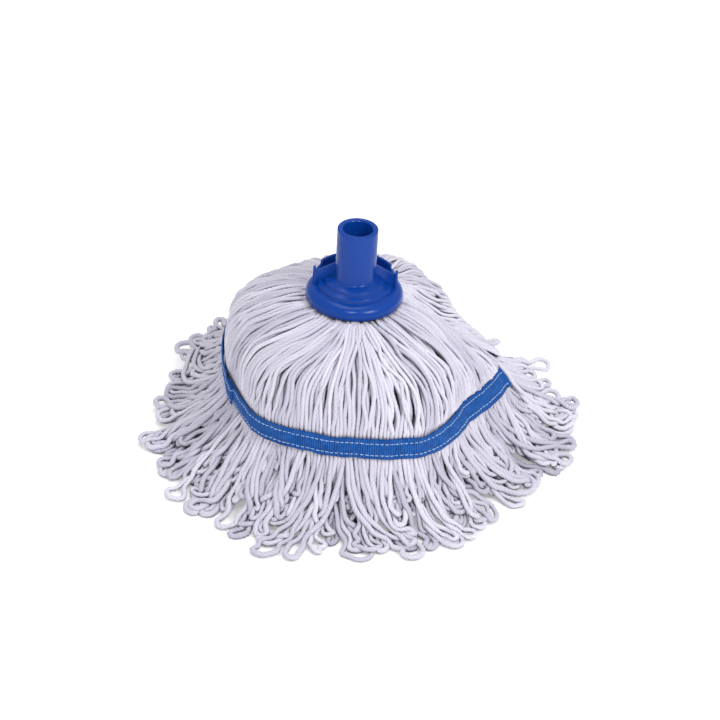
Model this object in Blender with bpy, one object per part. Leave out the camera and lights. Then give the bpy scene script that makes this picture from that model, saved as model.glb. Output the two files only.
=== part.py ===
"""A round cotton string-mop head with a push-in handle socket, standing on the floor.

Metres, +Z up. The origin is on the floor, on the handle's axis. The yarn is made as locks, one per sector:
a skirt lock from the flange to the sewn tape ring, and below the tape a fringe lock that swings on its own.
"""

from math import cos, hypot, pi, radians, sin

import bmesh
import bpy

# Heights
RIM_Z = 0.130  # underside of the flange's rim
TUBE_TOP_Z = RIM_Z + 0.0575
BORE_FLOOR_Z = RIM_Z + 0.0060
BOSS_BOTTOM_Z = RIM_Z + 0.0030

# The socket
TUBE_R = 0.0150
BORE_R = 0.0110
EDGE_ROUND = 0.0008
EDGE_STEPS = 3
TUBE_FILLET, TUBE_FILLET_STEPS = 0.0024, 5
TUBE_FOOT_RISE = 0.0016  # from the upper step to the foot of the tube's fillet
STEP_1_R, STEP_1_Z = 0.0224, RIM_Z + 0.0148
STEP_2_R, STEP_2_Z = 0.0270, RIM_Z + 0.0118
STEP_FILLET, STEP_HEIGHT = 0.0006, 0.0018
DOME_R, DOME_Z, DOME_STEPS = 0.0278, RIM_Z + 0.0094, 6
FLANGE_R = 0.0362
RIM_THICKNESS, RIM_FLAT = 0.0028, 0.0022
CAVITY_R, CAVITY_TOP_Z = 0.0225, RIM_Z + 0.0070
BOSS_TAPER = 0.0002
SOCKET_SEGMENTS = 48
SHARP_DEG = 35  # edges sharper than this aren't shaded smooth

# The wall that stands up behind the tube, its two webs and its fins
WALL_OUTER_R, WALL_THICKNESS = 0.0305, 0.0020
WALL_TOP_Z, WALL_FOOT_Z = RIM_Z + 0.0190, RIM_Z + 0.0070
LOW_WALL_STEPS, HIGH_WALL_STEPS = 24, 20
WALL_STEP = 0.00007  # the high wall is this much thinner on each face than the low one
POCKET_FLOOR_Z = RIM_Z + 0.0095
NOTCH_ANGLE = radians(30)  # how far the notch at each side reaches behind its web
NOTCH_BOTTOM_Z = RIM_Z + 0.0158
WEB_THICKNESS = 0.0020
WEB_TUBE_Z = RIM_Z + 0.0278
FIN_TOP_Z, FIN_FOOT_Z = RIM_Z + 0.0225, RIM_Z + 0.0066
FIN_STEP = 0.0007  # how far the fin stands out from the wall
FIN_HALF_ANGLE = radians(3.2)
BURY = 0.0010  # how far one shape runs into the next before they are joined

# The yarn, in sectors
SECTORS = 16
SECTOR = 2 * pi / SECTORS
SKIRT_GAP = 0.0006
FRINGE_GAP = 0.0022
YARN_THICKNESS = 0.0100
FRINGE_THICKNESS = 0.0120
SWELL_RATE = 1.2  # the fringe is swollen down to this rate's inverse share of its length
SKIRT_START_R = 0.0345
SKIRT_TOP_Z = RIM_Z - 0.0006
ROOT_CLEARANCE, CORE_CLEARANCE = 0.0005, 0.0015
PACKED_DEPTH = 0.0030  # how far below the cavity's roof the folded strands end
PACKED_INSET, PACKED_SLOPE = 0.0020, 0.0006
ROOT_CHAMFER = 0.0012
CORE_TOP_Z = RIM_Z - 0.0160
SKIRT_STEPS, FRINGE_STEPS = 6, 5
# share of the way out to the tape ring, and the drop below the skirt's top
SKIRT_LINE = ((0.0, 0.0), (0.20, 0.0), (0.50, 0.0065), (0.80, 0.0180), (0.96, 0.0330), (1.0, 0.0500))
# share of the way out to the tips, and share of the way down to the floor
FRINGE_LINE = ((0.0, 0.0), (0.18, 0.20), (0.50, 0.54), (0.82, 0.84), (1.0, 0.93))
# share of the core's full radius, and the drop below its top
CORE_LINE = ((0.30, 0.0), (0.56, 0.0060), (0.78, 0.0200), (0.92, 0.0420), (0.99, 0.0820), (1.0, 0.1080))
CORE_FOOT = 0.99

# The plug that holds the yarn in the socket
PLUG_STEM_R, PLUG_HEAD_R = 0.0078, 0.0240
PLUG_HEAD_Z = RIM_Z - 0.0105
PLUG_EDGE = 0.0015

# The sewn tape ring
RING_R, RING_SHIFT = 0.1035, 0.0080
TAPE_WIDTH = 0.0165
TAPE_THICKNESS = 0.0012
TAPE_Z = 0.0625
TAPE_TOP_Z = TAPE_Z + TAPE_WIDTH / 2
TAPE_BOTTOM_Z = TAPE_Z - TAPE_WIDTH / 2
TAPE_GAP = 0.0006
TAPE_SEGMENTS = 64
TURNED_SEGMENTS = 32  # for the hidden pieces
CORE_SEGMENTS = 40
STITCH_R = 0.0004
STITCH_INSET = 0.0035
STITCH_SIDES = 6

# The fringe and its hinges
HINGE_DROP = 0.0010  # the hinge line is this far below the tape
FRINGE_DROP = 0.0018
TIP_R_SIDE, TIP_R_FRONT = 0.1720, 0.1620
TIP_THICKNESS = 0.0080
FLOOR_GAP = 0.0002

COLOURS = {
    "plastic": ((0.020, 0.085, 0.400), 0.34),
    "plug": ((0.020, 0.085, 0.400), 0.45),
    "yarn": ((0.760, 0.750, 0.800), 0.95),
    "tape": ((0.012, 0.120, 0.520), 0.85),
    "thread": ((0.860, 0.860, 0.880), 0.80),
}


def clear_scene():
    for thing in list(bpy.data.objects):
        bpy.data.objects.remove(thing, do_unlink=True)


def material(name):
    """Each object gets its own copy of its family's finish."""
    colour, roughness = COLOURS[name]
    made = bpy.data.materials.new(name)
    made.use_nodes = True
    shader = made.node_tree.nodes["Principled BSDF"]
    shader.inputs["Base Color"].default_value = (*colour, 1)
    shader.inputs["Roughness"].default_value = roughness
    shader.inputs["Metallic"].default_value = 0.0
    return made


def add_object(name, bm, family, smooth_below=SHARP_DEG):
    bmesh.ops.recalc_face_normals(bm, faces=bm.faces)
    mesh = bpy.data.meshes.new(name)
    bm.to_mesh(mesh)
    bm.free()
    mesh.shade_smooth()
    mesh.set_sharp_from_angle(angle=radians(smooth_below))
    thing = bpy.data.objects.new(name, mesh)
    mesh.materials.append(material(family))
    bpy.context.collection.objects.link(thing)
    return thing


def loft(rings, closed=False):
    """A solid through rings of points. An open one is capped at both ends, a closed one meets itself."""
    bm = bmesh.new()
    made = [[bm.verts.new(point) for point in ring] for ring in rings]
    following = made[1:] + made[:1] if closed else made[1:]
    for one, other in zip(made, following):
        for i in range(len(one)):
            j = (i + 1) % len(one)
            bm.faces.new((one[i], one[j], other[j], other[i]))
    if not closed:
        bm.faces.new(made[0])
        bm.faces.new(reversed(made[-1]))
    bmesh.ops.triangulate(bm, faces=[f for f in bm.faces if len(f.verts) > 4])
    return bm


def turned(profile, segments):
    """The solid that a closed (radius, height) outline sweeps. Points on the axis become one point."""
    bm = bmesh.new()
    rings = []
    for radius, height in profile:
        if radius == 0:
            rings.append([bm.verts.new((0, 0, height))] * segments)
            continue
        angles = [2 * pi * (k + 0.5) / segments for k in range(segments)]
        rings.append([bm.verts.new((radius * cos(a), radius * sin(a), height)) for a in angles])
    for one, other in zip(rings, rings[1:] + rings[:1]):
        for i in range(segments):
            j = (i + 1) % segments
            corners = list(dict.fromkeys((one[i], one[j], other[j], other[i])))
            if len(corners) > 2:
                bm.faces.new(corners)
    return bm


def arc(centre, radius, start, end, steps):
    """Points on an arc in a (radius, height) outline; the angles are in degrees."""
    angles = [radians(start + (end - start) * k / steps) for k in range(steps + 1)]
    return [(centre[0] + radius * cos(a), centre[1] + radius * sin(a)) for a in angles]


def join(target, tool, operation="UNION"):
    """Joins a tool to its target, or cuts it out, and removes the tool."""
    modifier = target.modifiers.new(operation.lower(), "BOOLEAN")
    modifier.operation = operation
    modifier.solver = "EXACT"
    modifier.object = tool
    graph = bpy.context.evaluated_depsgraph_get()
    result = bpy.data.meshes.new_from_object(target.evaluated_get(graph))
    target.modifiers.clear()
    target.data = result
    bpy.data.objects.remove(tool, do_unlink=True)


def ring_block(inner_r, outer_r, bottom, top, start, end, steps):
    """A block between two radii, two heights and two angles."""
    angles = [start + (end - start) * k / steps for k in range(steps + 1)]
    corners = ((inner_r, bottom), (outer_r, bottom), (outer_r, top), (inner_r, top))
    return loft([[(r * cos(a), r * sin(a), z) for r, z in corners] for a in angles])


# ---------------------------------------------------------------- socket


def socket_outline():
    """The turned outline of the tube, steps, dome and underside, from the bore's floor round to its boss."""
    points = [(0, BORE_FLOOR_Z), (BORE_R, BORE_FLOOR_Z)]
    points += [(BORE_R, TUBE_TOP_Z - EDGE_ROUND), (BORE_R + EDGE_ROUND, TUBE_TOP_Z)]
    points += arc((TUBE_R - EDGE_ROUND, TUBE_TOP_Z - EDGE_ROUND), EDGE_ROUND, 90, 0, EDGE_STEPS)
    foot = STEP_1_Z + TUBE_FOOT_RISE
    points += arc((TUBE_R + TUBE_FILLET, foot + TUBE_FILLET), TUBE_FILLET, 180, 270, TUBE_FILLET_STEPS)
    for radius, height in ((STEP_1_R, STEP_1_Z), (STEP_2_R, STEP_2_Z)):
        points += arc((radius - EDGE_ROUND, height - EDGE_ROUND), EDGE_ROUND, 80, 0, EDGE_STEPS)
        points += arc((radius + STEP_FILLET, height - STEP_HEIGHT), STEP_FILLET, 180, 265, 2)
    rim_top = RIM_Z + RIM_THICKNESS
    points += dome_points((DOME_R, DOME_Z), (FLANGE_R, rim_top), DOME_STEPS)
    points += arc((FLANGE_R - EDGE_ROUND, RIM_Z + EDGE_ROUND), EDGE_ROUND, 0, -90, 2)
    points += [(FLANGE_R - RIM_FLAT, RIM_Z), (CAVITY_R, CAVITY_TOP_Z)]
    points += [(TUBE_R + BOSS_TAPER, CAVITY_TOP_Z), (TUBE_R, BOSS_BOTTOM_Z), (0, BOSS_BOTTOM_Z)]
    return points


def dome_points(start, end, steps):
    """A quarter ellipse, flat at the start and upright at the end."""
    run, drop = end[0] - start[0], start[1] - end[1]
    turns = [pi / 2 * k / steps for k in range(steps + 1)]
    return [(start[0] + run * sin(t), end[1] + drop * cos(t)) for t in turns]


def web(side):
    """The upright web between the tube and the wall. Its top edge falls outwards."""
    inner, outer = side * (TUBE_R - BURY), side * (WALL_OUTER_R - BURY / 2)
    half = WEB_THICKNESS / 2
    bottom = POCKET_FLOOR_Z - BURY
    outline = ((inner, bottom), (outer, bottom), (outer, WALL_TOP_Z), (inner, WEB_TUBE_Z))
    return loft([[(x, y, z) for x, z in outline] for y in (-half, half)])


def socket_body():
    """The low wall runs the whole half turn, and the high one stands on it between the notches."""
    body = add_object("socket_body", turned(socket_outline(), SOCKET_SEGMENTS), "plastic")
    wall_inner_r = WALL_OUTER_R - WALL_THICKNESS
    spans = (
        (0.0, NOTCH_BOTTOM_Z, 0.0, LOW_WALL_STEPS),
        (NOTCH_ANGLE, WALL_TOP_Z, WALL_STEP, HIGH_WALL_STEPS),
    )
    for start, top, step, steps in spans:
        block = ring_block(
            wall_inner_r + step, WALL_OUTER_R - step, WALL_FOOT_Z, top, start, pi - start, steps
        )
        join(body, add_object("wall", block, "plastic"))
    for side, angle in ((1, 0), (-1, pi)):
        join(body, add_object("web", web(side), "plastic"))
        fin = ring_block(
            wall_inner_r + FIN_STEP, WALL_OUTER_R + FIN_STEP, FIN_FOOT_Z, FIN_TOP_Z,
            angle - FIN_HALF_ANGLE, angle + FIN_HALF_ANGLE, 2,
        )
        join(body, add_object("fin", fin, "plastic"))
    body.data.materials.clear()
    body.data.materials.append(material("plastic"))
    body.data.shade_smooth()
    body.data.set_sharp_from_angle(angle=radians(SHARP_DEG))


# ---------------------------------------------------------------- yarn surfaces


def band_radius(angle):
    """The tape ring's outer radius. The ring sits a little towards +X."""
    return RING_R + RING_SHIFT * cos(angle)


def tip_radius(angle):
    """How far the fringe lies from the axis."""
    across = cos(angle) ** 2
    return TIP_R_FRONT + (TIP_R_SIDE - TIP_R_FRONT) * across


def smooth_curve(points, count):
    """Points at even parameters on a Catmull-Rom curve through the given ones."""
    padded = [tuple(2 * a - b for a, b in zip(points[0], points[1]))] + list(points)
    padded.append(tuple(2 * a - b for a, b in zip(points[-1], points[-2])))
    made = []
    for k in range(count + 1):
        place = k * (len(points) - 1) / count
        i = min(int(place), len(points) - 2)
        t = place - i
        before, start, end, after = padded[i:i + 4]
        weights = (-t**3 + 2 * t**2 - t, 3 * t**3 - 5 * t**2 + 2, -3 * t**3 + 4 * t**2 + t, t**3 - t**2)
        made.append(tuple(
            (weights[0] * a + weights[1] * b + weights[2] * c + weights[3] * d) / 2
            for a, b, c, d in zip(before, start, end, after)
        ))
    return made


def skirt_outline(angle):
    """The skirt's outer (radius, height) line from the flange to the tape's lower edge."""
    reach = band_radius(angle) - TAPE_THICKNESS - TAPE_GAP - SKIRT_START_R
    line = [(SKIRT_START_R + reach * share, SKIRT_TOP_Z - drop) for share, drop in SKIRT_LINE]
    return smooth_curve(line, SKIRT_STEPS) + [(line[-1][0], TAPE_TOP_Z), (line[-1][0], TAPE_BOTTOM_Z)]


def fringe_outline(angle):
    """The fringe's outer line from below the tape to its tip on the floor."""
    start, tip = band_radius(angle) - TAPE_THICKNESS - TAPE_GAP, tip_radius(angle)
    top = TAPE_BOTTOM_Z - FRINGE_DROP
    line = [(start + (tip - start) * out, top * (1 - down)) for out, down in FRINGE_LINE]
    return smooth_curve(line, FRINGE_STEPS)


def normals(line):
    """The inward unit normal at each point of an outer line that runs outwards and down."""
    found = []
    for i in range(len(line)):
        (r0, z0), (r1, z1) = line[max(i - 1, 0)], line[min(i + 1, len(line) - 1)]
        length = hypot(r1 - r0, z1 - z0)
        found.append(((z1 - z0) / length, -(r1 - r0) / length))
    return found


LOCK_SECTION = (
    (-1.0, 0.65), (-1.0, 0.30), (-0.80, 0.06), (-0.40, 0.0), (0.0, 0.0), (0.40, 0.0), (0.80, 0.06),
    (1.0, 0.30), (1.0, 0.65), (0.75, 1.0), (0.25, 1.0), (-0.25, 1.0), (-0.75, 1.0),
)  # across the lock from -1 to 1, and its depth below the outer line from 0 to 1


def lock(name, index, outline_of, thickness_at, gap, lowest):
    """A lock of yarn that fills its sector under an outer line, with a gap to the locks beside it."""
    middle = (index + 0.5) * SECTOR
    columns = {}
    for across, _ in LOCK_SECTION:
        columns[across] = outline_of(middle + across * SECTOR / 2)
    facing = {across: normals(line) for across, line in columns.items()}
    rings = []
    for k in range(len(columns[0.0])):
        ring = []
        for across, depth in LOCK_SECTION:
            r, z = columns[across][k]
            inward_r, inward_z = facing[across][k]
            thickness = thickness_at(k / (len(columns[0.0]) - 1))
            r += inward_r * depth * thickness
            z = max(z + inward_z * depth * thickness, lowest)
            angle = middle + across * (SECTOR / 2 - gap / 2 / r)
            ring.append((r * cos(angle), r * sin(angle), z))
        rings.append(ring)
    add_object(name, loft(rings), "yarn", smooth_below=60)


def skirt_thickness(_):
    return YARN_THICKNESS


def fringe_thickness(share):
    """Thickest near its middle."""
    swell = (FRINGE_THICKNESS - YARN_THICKNESS) * sin(pi * min(share * SWELL_RATE, 1.0))
    return YARN_THICKNESS + swell + (TIP_THICKNESS - YARN_THICKNESS) * share


def skirt_and_fringe():
    for index in range(SECTORS):
        number = f"{index + 1:02d}"
        lock(f"skirt_tuft_{number}", index, skirt_outline, skirt_thickness, SKIRT_GAP, 0)
        lock(f"fringe_tuft_{number}", index, fringe_outline, fringe_thickness, FRINGE_GAP, FLOOR_GAP)
        place_origin_on_hinge(f"fringe_tuft_{number}", index)


def hinge_point(index):
    """The middle of a fringe lock's hinge line, on the tape's lower edge."""
    middle = (index + 0.5) * SECTOR
    radius = band_radius(middle) - TAPE_THICKNESS
    return (radius * cos(middle), radius * sin(middle), TAPE_BOTTOM_Z - HINGE_DROP)


def place_origin_on_hinge(name, index):
    thing = bpy.data.objects[name]
    point = hinge_point(index)
    for vertex in thing.data.vertices:
        vertex.co = [a - b for a, b in zip(vertex.co, point)]
    thing.location = point


def yarn_root():
    """The strands' folded middles, packed under the flange round the plug's stem."""
    top, bottom = RIM_Z - ROOT_CLEARANCE, PLUG_HEAD_Z + ROOT_CLEARANCE
    inner, outer = PLUG_STEM_R + ROOT_CLEARANCE, SKIRT_START_R - ROOT_CLEARANCE
    packed = CAVITY_TOP_Z - PACKED_DEPTH
    outline = [(inner, top), (inner, bottom), (outer, bottom)]
    outline += [(outer, top - ROOT_CHAMFER), (outer - ROOT_CHAMFER, top), (CAVITY_R - PACKED_INSET, packed)]
    outline += [(TUBE_R + 2 * PACKED_SLOPE, packed), (TUBE_R + PACKED_SLOPE, top)]
    add_object("yarn_root", turned(outline, TURNED_SEGMENTS), "yarn")


def clamp_plug():
    """A stem up to the bore's floor, and a round head that carries the yarn."""
    stem_top = BOSS_BOTTOM_Z - ROOT_CLEARANCE
    outline = [(0, stem_top), (PLUG_STEM_R, stem_top)]
    outline += [(PLUG_STEM_R, PLUG_HEAD_Z), (PLUG_HEAD_R, PLUG_HEAD_Z)]
    outline += arc((PLUG_HEAD_R - PLUG_EDGE, PLUG_HEAD_Z - 2 * PLUG_EDGE), PLUG_EDGE, 0, -90, EDGE_STEPS)
    outline += [(0, PLUG_HEAD_Z - 3 * PLUG_EDGE)]
    add_object("clamp_plug", turned(outline, TURNED_SEGMENTS), "plug")


def yarn_core():
    """The inner layers of yarn, which the head stands on. It follows the inside of the skirt."""
    inset = 2 * TAPE_THICKNESS + 3 * TAPE_GAP + YARN_THICKNESS + CORE_CLEARANCE
    rings = []
    for share, drop in CORE_LINE + ((CORE_FOOT, CORE_TOP_Z),):
        ring = []
        for k in range(CORE_SEGMENTS):
            angle = 2 * pi * k / CORE_SEGMENTS
            radius = (band_radius(angle) - inset) * share
            ring.append((radius * cos(angle), radius * sin(angle), CORE_TOP_Z - drop))
        rings.append(ring)
    add_object("yarn_core", loft(rings), "yarn", smooth_below=60)


# ---------------------------------------------------------------- tape


def tape_ring(name, outer_offset):
    """A closed band of constant width. The offset is measured inwards from the ring's outer radius."""
    rings = []
    for k in range(TAPE_SEGMENTS):
        angle = 2 * pi * k / TAPE_SEGMENTS
        outer = band_radius(angle) - outer_offset
        inner = outer - TAPE_THICKNESS
        corners = ((inner, TAPE_BOTTOM_Z), (outer, TAPE_BOTTOM_Z), (outer, TAPE_TOP_Z), (inner, TAPE_TOP_Z))
        rings.append([(r * cos(angle), r * sin(angle), z) for r, z in corners])
    add_object(name, loft(rings, closed=True), "tape")


def stitch_row(name, height):
    """A row of thread laid round the tape's face."""
    rings = []
    for k in range(TAPE_SEGMENTS):
        angle = 2 * pi * k / TAPE_SEGMENTS
        middle = band_radius(angle) + STITCH_R + TAPE_GAP / 2
        ring = []
        for side in range(STITCH_SIDES):
            turn = 2 * pi * side / STITCH_SIDES
            radius = middle + STITCH_R * cos(turn)
            ring.append((radius * cos(angle), radius * sin(angle), height + STITCH_R * sin(turn)))
        rings.append(ring)
    add_object(name, loft(rings, closed=True), "thread")


def tape_and_stitches():
    tape_ring("tape_outer", 0.0)
    tape_ring("tape_inner", TAPE_THICKNESS + 2 * TAPE_GAP + YARN_THICKNESS)
    stitch_row("stitch_row_upper", TAPE_TOP_Z - STITCH_INSET)
    stitch_row("stitch_row_lower", TAPE_BOTTOM_Z + STITCH_INSET)


def build():
    clear_scene()
    socket_body()
    clamp_plug()
    yarn_root()
    yarn_core()
    skirt_and_fringe()
    tape_and_stitches()


build()
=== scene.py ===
"""Looks of the string mop head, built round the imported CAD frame. Lengths are in metres. Azimuths
are counterclockwise from +X, in degrees in the tables and in radians in the functions."""

import itertools
import math
from collections import namedtuple

import bmesh
import bpy
import numpy as np
from mathutils import Matrix, Vector


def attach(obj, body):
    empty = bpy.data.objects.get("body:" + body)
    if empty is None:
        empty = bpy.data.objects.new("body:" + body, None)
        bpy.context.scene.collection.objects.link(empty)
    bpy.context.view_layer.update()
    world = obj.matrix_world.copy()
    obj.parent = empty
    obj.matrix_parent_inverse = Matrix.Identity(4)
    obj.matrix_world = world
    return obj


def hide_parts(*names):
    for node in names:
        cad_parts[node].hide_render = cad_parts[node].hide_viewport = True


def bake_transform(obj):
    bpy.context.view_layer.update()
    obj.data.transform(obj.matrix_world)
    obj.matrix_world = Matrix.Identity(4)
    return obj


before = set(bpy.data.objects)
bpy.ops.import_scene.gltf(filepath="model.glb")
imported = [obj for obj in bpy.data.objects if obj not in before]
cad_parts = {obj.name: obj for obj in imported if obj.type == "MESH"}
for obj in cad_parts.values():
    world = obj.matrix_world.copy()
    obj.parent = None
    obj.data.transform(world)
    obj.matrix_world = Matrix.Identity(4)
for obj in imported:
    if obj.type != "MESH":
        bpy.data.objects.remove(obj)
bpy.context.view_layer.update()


def new_object(name, data):
    """A new object in the scene."""
    made = bpy.data.objects.new(name, data)
    bpy.context.scene.collection.objects.link(made)
    return made


# ---------------- camera
CAMERA_TARGET = Vector((0.0072, 0.0, 0.0722))
CAMERA_DISTANCE = 1.8
CAMERA_ELEVATION = math.radians(34.15)
CAMERA_ROLL = math.radians(3.466)
CAMERA_LENS_MM = 119.5
SENSOR_MM = 36.0

# ---------------- the head's shape
SECTORS = 16
RIM_Z = 0.130
SKIRT_TOP_Z = RIM_Z - 0.0006
SKIRT_START_R = 0.0345
BAND_MEAN = 0.1035
TAPE_Z = 0.0625
TAPE_WIDTH = 0.0165
TAPE_FOOT = TAPE_Z - TAPE_WIDTH / 2
TAPE_THICKNESS = 0.0011
STITCH_INSET = 0.0035
# (azimuth, radius of the tape's outer face)
BAND_KEYS = (
    (-180, 0.0960), (-158, 0.0935), (-146, 0.0950), (-130, 0.1030), (-107, 0.0985), (-92, 0.0990),
    (-75, 0.1020), (-61, 0.1100), (-46, 0.1060), (-28, 0.0985), (-10, 0.1060), (3, 0.1170),
    (16, 0.1090), (32, 0.1000), (60, 0.1010), (90, 0.1020), (120, 0.1060), (146, 0.1130),
    (160, 0.1030),
)
# (azimuth, degrees by which the tape leans back, on the loose slope at the right)
TILT_KEYS = (
    (-180, -4), (-120, 0), (-80, 4), (-60, 8), (-40, 22), (-15, 38), (5, 42), (25, 30), (60, 5),
    (120, 0),
)
# (azimuth, distance of the loops' tips from the axis)
REACH_KEYS = (
    (-180, 0.1520), (-165, 0.1550), (-138, 0.1570), (-113, 0.1560), (-93, 0.1520), (-76, 0.1440),
    (-60, 0.1530), (-43, 0.1580), (-28, 0.1550), (-14, 0.1620), (5, 0.1800), (20, 0.1820),
    (38, 0.1760), (60, 0.1680), (90, 0.1640), (115, 0.1660), (130, 0.1700), (146, 0.1580),
    (163, 0.1480),
)
# (azimuth, how far the skirt slumps from a dome, 0, to a cone, 1)
SLUMP_KEYS = (
    (-180, 0.0), (-60, 0.0), (-32, 0.10), (-15, 0.45), (0, 0.90), (14, 1.0), (26, 0.8),
    (38, 0.30), (50, 0.05), (75, 0.0), (90, 0.0),
)
# (azimuth, how far the skirt swells out from the dome)
PUFF_KEYS = (
    (-180, -0.003), (-150, 0.0), (-110, 0.0), (-60, 0.0), (0, 0.0), (14, -0.006), (28, -0.009),
    (40, -0.003), (52, 0.004), (66, 0.006), (84, 0.003), (105, -0.001), (130, -0.004),
    (150, -0.004),
)
# (azimuth at the tape, degrees by which a strand's root lies further round)
ROOT_SWEEP_KEYS = (
    (-180, -2), (-166, 4), (-150, 16), (-136, 26), (-120, 22), (-106, 14), (-94, 6), (-84, 0),
    (-74, -8), (-58, -16), (-42, -10), (-26, 4), (-10, 14), (20, 8), (60, -6), (100, 8),
    (140, -8),
)
# (azimuth at the tape, degrees by which a top loop's tip lies further round)
TIP_SWEEP_KEYS = (
    (-180, 0), (-160, -3), (-130, -6), (-105, 1), (-85, 1), (-66, 6), (-50, 14), (-34, 14),
    (-15, 8), (5, 4), (30, -4), (60, 0), (100, 8), (130, 2), (155, -6),
)
# (azimuth, height of what the tips lie on)
LIFT_KEYS = (
    (-180, 0.003), (-150, 0.0), (-60, 0.0), (-25, 0.002), (5, 0.004), (25, 0.013), (42, 0.018),
    (62, 0.008), (100, 0.003), (125, 0.008), (140, 0.013), (155, 0.008),
)
SMOOTH_DEG = 5.0  # how far the tables' corners are rounded
SKIRT_POINTS = 40
# the skirt's outline: share of the way out to the band, and the drop below the rim
SKIRT_OUTLINE = (
    (0.0, 0.0), (0.20, 0.0015), (0.50, 0.0085), (0.80, 0.0210), (0.96, 0.0370), (1.0, 0.0520),
)
CONE_OUTLINE = (
    (0.0, 0.0), (0.15, 0.0060), (0.40, 0.0210), (0.70, 0.0400), (0.90, 0.0510), (1.0, 0.0580),
)
# azimuths between which the outermost strands fall outside the tape and hide it, and how far a
# hank can shift the second one
ESCAPED = (7.0, 44.0)
ESCAPED_SHIFT = 8
TAPE_END = 3.0


def around(keys):
    """A smooth periodic function of azimuth in radians through (degrees, value) keys."""
    grid = np.arange(0.0, 360.0)
    table = np.interp(grid, [k[0] % 360 for k in keys], [k[1] for k in keys], period=360)
    offset = np.minimum(grid, 360 - grid)
    kernel = np.exp(-0.5 * (offset / SMOOTH_DEG) ** 2)
    smooth = np.real(np.fft.ifft(np.fft.fft(table) * np.fft.fft(kernel / kernel.sum())))
    wrapped, values = np.append(grid, 360.0), np.append(smooth, smooth[0])
    return lambda azimuth: np.interp(np.degrees(azimuth) % 360, wrapped, values)


band_radius = around(BAND_KEYS)
reach = around(REACH_KEYS)
slump = around(SLUMP_KEYS)
root_sweep = around(ROOT_SWEEP_KEYS)
tip_sweep = around(TIP_SWEEP_KEYS)
lift = around(LIFT_KEYS)
tilt = around(TILT_KEYS)
puff = around(PUFF_KEYS)

# ---------------- yarn
YARN_RADIUS = 0.00162  # as it is held in the skirt
LOOSE_RADIUS = 0.00220  # as it opens in the fringe
LOOSENS_OVER = 0.030
CONTACT_SHARE = 0.84  # of the radius: soft strands press into each other
PACKED = 2 * YARN_RADIUS * 0.66  # how far a deeper layer lies below the one above
SPACING = 0.0030  # between a strand's points while it settles
HANKS = 46  # bunches that the loops' tips are drawn to
HANK_SPREAD = 0.075
CLUMP = 2 * math.pi / 38  # azimuth between bunches in the skirt
GATHERED = 2 * math.pi / 40  # and halfway down the fringe
# one value for each layer, from the outside in
LAYER_LEGS = (220, 156, 88)
LAYER_SIDES = (12, 10, 8)
LAYER_RING = (0.00135, 0.0019, 0.0026)  # length of a tube's faces
# painted shade: the deeper layers get darker lightness ranges, which stand in for the shade inside
# the mop; within a range the lightness differs at random
LAYER_TONES_AND_DEPTH_SHADE = ((0.38, 1.0), (0.22, 0.80), (0.0, 0.25))  # range of the strands' lightness
LAYER_STEP = 0.0023  # from layer to layer at the tape
TIP_SWEPT = (1.0, 0.5, 0.1)
TO_HANK = (0.80, 0.75, 0.25)
HANK_TURN = (1.0, 0.8, 0.3)
GATHER = (0.88, 0.82, 0.25)
TIP_JITTER = 0.026
STRAY_SHARE = 0.10  # of the loops lie across their neighbours
STRAY_TURN = (0.10, 0.26)
SHORTEST, LONGER = 0.42, 0.58  # a loop's least share of the reach, and what its own share adds
TURN_DEPTH = 0.004  # of the turn past the end of its legs
CROSSED_SHARE = 0.45  # of the loops cross their legs before the turn
TIP_LAYER_RISE = 0.0042
ROOT_R = 0.0255
UNDER_TAPE = 0.0007  # clearance
# (spread in radians, half waves) of a leg's wandering along the skirt
WANDERING = (((0.014, 1), (0.011, 2)), ((0.013, 3), (0.009, 4)), ((0.005, 6),))
WIND_RADIUS = 0.0021  # of two legs wound round each other
STEPS = 200
SEED = 20

# a chain of points, which of them are held, and where it belongs
Strand = namedtuple("Strand", "points fixed layer sector")
NO_SECTOR = -1  # of the yarn inside the ring


def spaced(points, spacing, marks=None):
    """The line resampled at equal steps, with its marks (one number a point) if it has them."""
    points = np.asarray(points, float)
    run = np.append(0.0, np.cumsum(np.linalg.norm(np.diff(points, axis=0), axis=1)))
    count = max(3, int(round(run[-1] / spacing)) + 1)
    at = np.linspace(0, run[-1], count)
    made = np.stack([np.interp(at, run, points[:, i]) for i in range(3)], 1)
    if marks is None:
        return made
    return made, np.interp(at, run, marks)


def smoothstep(t):
    t = np.clip(t, 0, 1)
    return t * t * (3 - 2 * t)


def skirt_profile(outline):
    """(radius, height) along the skirt's outer face, from under the flange to the tape."""
    outs, drops = np.array(outline).T
    outs = SKIRT_START_R + outs * (BAND_MEAN - SKIRT_START_R)
    heights = SKIRT_TOP_Z - drops
    run = np.append(0, np.cumsum(np.hypot(np.diff(outs), np.diff(heights))))
    at = np.linspace(0, run[-1], SKIRT_POINTS)
    r, z = np.interp(at, run, outs), np.interp(at, run, heights)
    for _ in range(12):
        for line in (r, z):
            line[1:-1] = 0.25 * line[:-2] + 0.5 * line[1:-1] + 0.25 * line[2:]
    return r, z


DOME_R, DOME_Z = skirt_profile(SKIRT_OUTLINE)
CONE_R, CONE_Z = skirt_profile(CONE_OUTLINE)
DOME_CENTRE_Z = 0.045


def place(radius, azimuth, height):
    """Points from cylindrical coordinates."""
    radius, azimuth, height = np.broadcast_arrays(radius, azimuth, height)
    return np.stack([radius * np.cos(azimuth), radius * np.sin(azimuth), height], -1)


def leg_layout(layer, rng):
    """Azimuth of every leg of a layer where it passes the tape, evenly spread along the ring."""
    grid = np.linspace(0, 2 * np.pi, 1441)
    r = band_radius(grid)
    run = np.append(0, np.cumsum(np.hypot(np.diff(r), r[1:] * np.diff(grid))))
    count = LAYER_LEGS[layer]
    at = (np.arange(count) + 0.5 + rng.uniform(-0.12, 0.12, count)) / count * run[-1]
    return np.interp(at, run, grid)


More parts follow.
